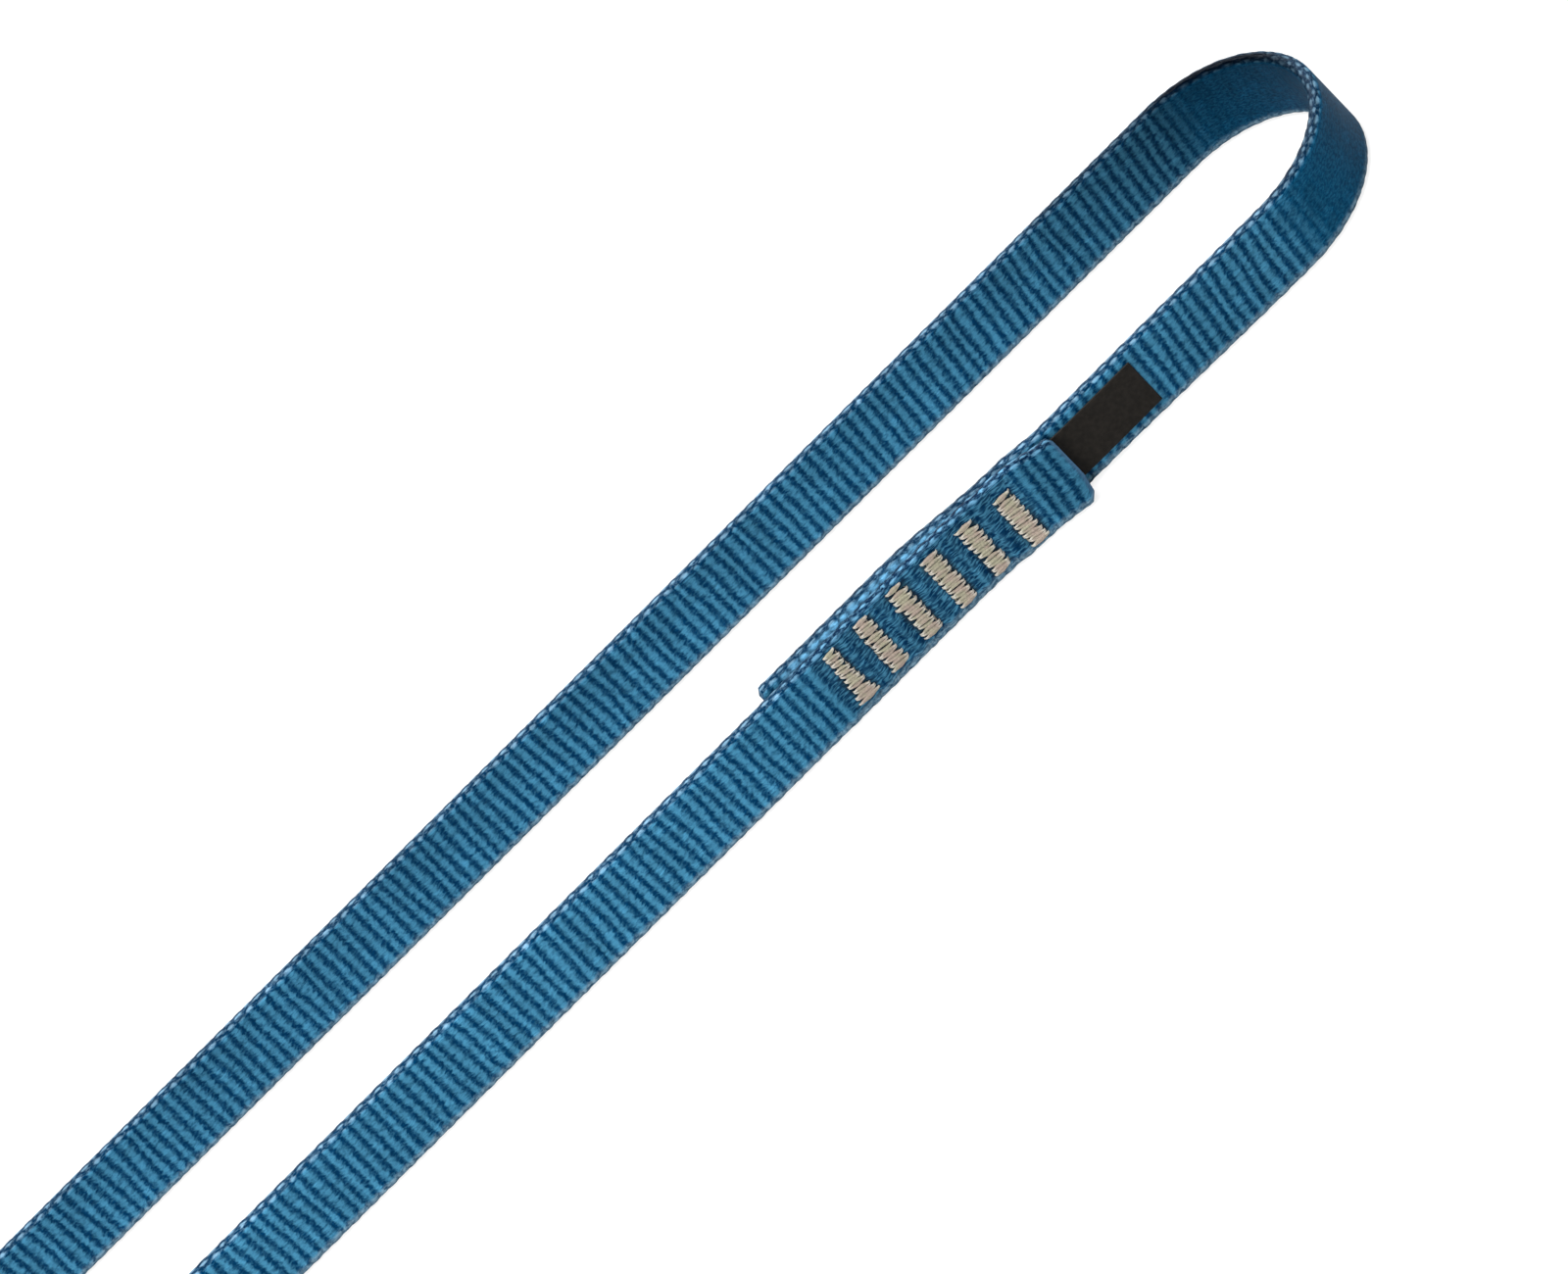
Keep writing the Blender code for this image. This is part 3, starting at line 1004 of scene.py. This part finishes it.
def painted_weave_light(surface, ribs, yarns, height, strokes, fine_strokes):
    """How light the weave is painted, from 0, painted shade in its grooves, to 1 on its floats; the lit row
    gets painted light.
    """
    fray = 0.55
    unlit_height = 0.30
    face_contrast = 2.6
    edge_contrast = 1.35
    stroke_sway = 1.6
    stroke_middle = 0.47
    fine_stroke_sway = 1.4
    dashed_share = 0.85
    swell_top = 0.95
    swell_fall = 2.4
    streaked_share = 0.9
    mottle = surface.grain(ribs, yarns, per_rib=2.6, per_yarn=2.2, roughness=0.5)
    raised = surface.minus(surface.swayed(height, mottle, fray), unlit_height)
    raised = surface.math("DIVIDE", raised, 1 - unlit_height, clamp=True)
    lit = surface.math("POWER", raised, surface.between(surface.value("edge"), face_contrast, edge_contrast))
    lit = surface.swayed(lit, strokes, stroke_sway, middle=stroke_middle)
    lit = surface.swayed(lit, fine_strokes, fine_stroke_sway, clamp=True)
    even_ribs = surface.value("ribs")
    even_yarns = surface.value("yarns")
    dashes = surface.grain(even_ribs, even_yarns, per_rib=1.4, per_yarn=4.4, detail=1.0)
    dashes = surface.ramp(dashes, 0.45, 0.61)
    lit = surface.mixed(surface.product(surface.value("pulled"), dashed_share), lit, dashes)
    from_rib_middle = surface.minus(surface.math("FRACT", ribs), 0.5)
    fallen = surface.product(from_rib_middle, from_rib_middle, swell_fall)
    streaked = surface.swayed(surface.minus(swell_top, fallen), strokes, stroke_sway, clamp=True)
    return surface.mixed(surface.product(surface.value("lit_row"), streaked_share), lit, streaked)


def webbing_colour(surface, lit, smoothed, fine_strokes):
    """The colour of the faces and of the selvedges, with the weave's painted light and shade, before their
    tone.
    """
    pulled = surface.product(surface.value("pulled"), 0.7)
    ribbed_colour = surface.colour(pulled, surface.tint(lit, rib_colours), surface.tint(lit, pulled_colours))
    bend_smooth_shade_colour = surface.tint(surface.ramp(fine_strokes, 0.38, 0.62), bend_smooth_shade_colours)
    face_colour = surface.colour(smoothed, ribbed_colour, bend_smooth_shade_colour)
    highlit_edge = surface.tint(lit, selvedge_highlight_colours)
    highlight_edge = surface.tint(lit, highlight_row_colours)
    edge_colour = surface.colour(surface.value("highlight_row"), highlit_edge, highlight_edge)
    return surface.colour(surface.ramp(surface.value("selvedge"), 0.25, 0.85), face_colour, edge_colour)


def webbing_tone(surface, row, column, ribs, yarns, filaments):
    """How much lighter or darker than its colour each float, rib and stretch of the webbing is, with painted
    glints on a few floats and the strip's painted light and shade.
    """
    face_spread = 0.14
    edge_spread = 0.30
    painted_glint_strength = 0.35
    painted_shade_strength = 0.55
    # Painted shade on the webbing beside the tacks
    pulled_shade_tone = 0.70
    slow = surface.grain(ribs, yarns, per_rib=0.05, per_yarn=0.28, roughness=0.5)
    float_tone = surface.random(surface.vector(row, column))
    rib_tone = surface.random(surface.vector(row, 0.5))
    float_spread = surface.between(surface.value("edge"), face_spread, edge_spread)
    tone = surface.product(
        surface.between(filaments, 0.44, 1.56),
        surface.swayed(1.0, float_tone, float_spread),
        surface.between(rib_tone, 0.92, 1.08),
        surface.between(slow, 0.90, 1.10),
    )
    painted_glint = surface.product(surface.ramp(float_tone, 0.84, 1.0), surface.ramp(filaments, 0.45, 0.7))
    tone = surface.math("MULTIPLY_ADD", painted_glint, painted_glint_strength, tone)
    bright = surface.math("MULTIPLY_ADD", surface.value("painted_light_and_shade"), -painted_shade_strength, 1.0)
    return surface.product(tone, surface.between(surface.value("pulled"), 1.0, pulled_shade_tone), bright)


def webbing_material():
    surface = Surface("blue_webbing")
    edge = surface.value("edge")
    ribs, yarns = wavering_weave(surface)
    height, row, column = weave_height(surface, ribs, yarns, edge)
    filaments = surface.grain(ribs, yarns, per_rib=1.1, per_yarn=13.0, detail=3.0)
    strokes = surface.grain(ribs, yarns, per_rib=2.6, per_yarn=2.8, detail=3.0)
    fine_strokes = surface.grain(ribs, yarns, per_rib=3.4, per_yarn=5.2)
    lit = painted_weave_light(surface, ribs, yarns, height, strokes, fine_strokes)
    on_face = surface.minus(1.0, surface.ramp(edge, 0.1, 0.7))
    smoothed = surface.product(surface.value("bent"), 0.95, on_face)
    base = webbing_colour(surface, lit, smoothed, fine_strokes)
    toned = surface.toned(base, webbing_tone(surface, row, column, ribs, yarns, filaments))
    # The lowest row: painted light of the floor's bounce, paler and greyer
    wear_and_floor_bounce = surface.tint(surface.ramp(strokes, 0.35, 0.65), floor_bounce_colours)
    toned = surface.colour(surface.product(surface.value("low_row"), 0.75), toned, wear_and_floor_bounce)
    thread_shade = surface.product(surface.value("thread_shade"), 0.85)
    shaded = surface.colour(thread_shade, toned, srgb(*thread_shade_colour))
    sealed = surface.colour(surface.value("cut_end"), shaded, srgb(*cut_end_colour))
    surface.set(Base_Color=sealed, Roughness=surface.between(filaments, 0.48, 0.64))
    surface.set(Specular_IOR_Level=0.10, Specular_Tint=srgb(*webbing_glint_colour))
    surface.set(Sheen_Weight=0.04, Sheen_Tint=srgb(*webbing_sheen_colour))
    flattened = surface.product(height, surface.minus(1.0, smoothed))
    surface.bump(surface.math("MULTIPLY_ADD", strokes, 0.4, flattened), distance=0.0004, strength=0.6)
    return surface.material


def thread_material():
    twist_rate = 9000.0
    tip_highlight_share = 0.8
    surface = Surface("beige_thread")
    tone = surface.value("tone")
    tip_highlight = surface.value("tip_highlight")
    place = surface.object_place()
    fibres = surface.noise(place, scale=9000.0, detail=3.0, roughness=0.6)
    twist = surface.math("SINE", surface.product(surface.value("along"), twist_rate))
    patch = surface.swayed(surface.noise(place, scale=420.0), tone, 0.16)
    dyed = surface.tint(surface.ramp(patch, 0.36, 0.64), thread_colours)
    # Painted highlight near the tips; painted shade where the stitches sink and on their flanks
    base = surface.colour(surface.product(tip_highlight, tip_highlight_share), dyed, srgb(*thread_tip_highlight_colour))
    shade = surface.product(
        surface.between(fibres, 0.66, 1.28),
        surface.between(tone, 0.90, 1.08),
        surface.between(surface.value("sunk"), 1.0, 0.3),
        surface.between(tip_highlight, 0.97, 1.12),
        surface.between(surface.value("flank_shade"), 1.07, 0.66),
    )
    surface.set(Base_Color=surface.toned(base, shade), Roughness=surface.between(fibres, 0.50, 0.70))
    surface.set(Specular_IOR_Level=0.3, Sheen_Weight=0.15)
    surface.bump(surface.math("MULTIPLY_ADD", twist, 0.5, fibres), distance=0.00006, strength=0.5)
    return surface.material


def label_material():
    surface = Surface("black_label_tape")
    place = surface.object_place()
    along = surface.add("SeparateXYZ", "X", {"Vector": place})
    up = surface.add("SeparateXYZ", "Z", {"Vector": place})
    weft = surface.math("SINE", surface.product(along, 2 * math.pi / label_weft_pitch))
    warp = surface.math("SINE", surface.product(up, 2 * math.pi / label_warp_pitch))
    wear_and_floor_bounce = surface.noise(place, scale=900.0, detail=3.0, roughness=0.6)
    base = surface.tint(surface.ramp(wear_and_floor_bounce, 0.3, 0.75), label_colours)
    surface.set(Base_Color=base, Roughness=surface.between(wear_and_floor_bounce, 0.42, 0.60))
    surface.set(Specular_IOR_Level=0.14, Sheen_Weight=0.02)
    cloth = surface.math("MULTIPLY_ADD", surface.product(weft, warp), 0.5, wear_and_floor_bounce)
    surface.bump(cloth, distance=0.00005, strength=0.35)
    return surface.material


def make_world():
    """White to the camera, and only a faint light on the sling."""
    fill_strength = 0.04
    world = bpy.data.worlds.new("studio")
    bpy.context.scene.world = world
    world.use_nodes = True
    tree = world.node_tree
    background = tree.nodes["Background"]
    background.inputs["Color"].default_value = (1, 1, 1, 1)
    rays = tree.nodes.new("ShaderNodeLightPath")
    strength = tree.nodes.new("ShaderNodeMapRange")
    strength.inputs["To Min"].default_value = fill_strength
    tree.links.new(rays.outputs["Is Camera Ray"], strength.inputs["Value"])
    tree.links.new(strength.outputs["Result"], background.inputs["Strength"])


def make_floor():
    """A white floor that keeps a faint shadow."""
    half_side = 6.0
    drop = 0.0002
    bounced_grey = (0.45, 0.45, 0.45, 1)
    shadowed_grey = (0.2, 0.2, 0.2, 1)
    glow_strength = 0.84
    corners = [(x * half_side, y * half_side, -drop) for x, y in ((-1, -1), (1, -1), (1, 1), (-1, 1))]
    mesh = bpy.data.meshes.new("floor")
    mesh.from_pydata(corners, [], [(0, 1, 2, 3)])
    floor = add_object("floor", mesh)
    surface = Surface("white_floor")
    surface.tree.nodes.remove(surface.shader)
    bounced = surface.add("BsdfDiffuse", "BSDF", {"Color": bounced_grey})
    shadowed = surface.add("BsdfDiffuse", "BSDF", {"Color": shadowed_grey})
    glow = surface.add("Emission", "Emission", {"Strength": glow_strength})
    seen = surface.add("AddShader", "Shader", {0: shadowed, 1: glow})
    camera_ray = surface.add("LightPath", "Is Camera Ray", {})
    either = surface.add("MixShader", "Shader", {0: camera_ray, 1: bounced, 2: seen})
    surface.give(surface.tree.nodes["Material Output"].inputs["Surface"], either)
    mesh.materials.append(surface.material)


def add_lamp(name, place, target, size, power):
    data = bpy.data.lights.new(name, "AREA")
    data.shape = "SQUARE"
    data.size = size
    data.energy = power
    lamp = add_object(name, data)
    lamp.location = place
    lamp.rotation_euler = (Vector(place) - Vector(target)).to_track_quat("Z", "Y").to_euler()
    lamp.visible_camera = False


def make_lamps():
    add_lamp("top", place=(0.10, -0.20, 1.70), target=(0.10, 0.0, 0.0), size=0.8, power=44)
    add_lamp("front", place=(-0.25, -0.78, 0.45), target=(0.0, 0.0, 0.0), size=0.45, power=5.9)
    add_lamp("back", place=(0.40, 1.30, 0.70), target=(0.05, 0.0, 0.0), size=0.9, power=14)


def build():
    make_camera()
    webbing, path = make_webbing(make_route())
    webbing.data.materials.append(webbing_material())
    beige = thread_material()
    for number, tack in enumerate(seen_tack_places, start=1):
        for face in ("needle", "bobbin"):
            make_stitching(number, tack, face).data.materials.append(beige)
    make_label().data.materials.append(label_material())
    make_world()
    make_floor()
    make_lamps()
    bpy.context.scene.view_settings.view_transform = "Standard"


build()
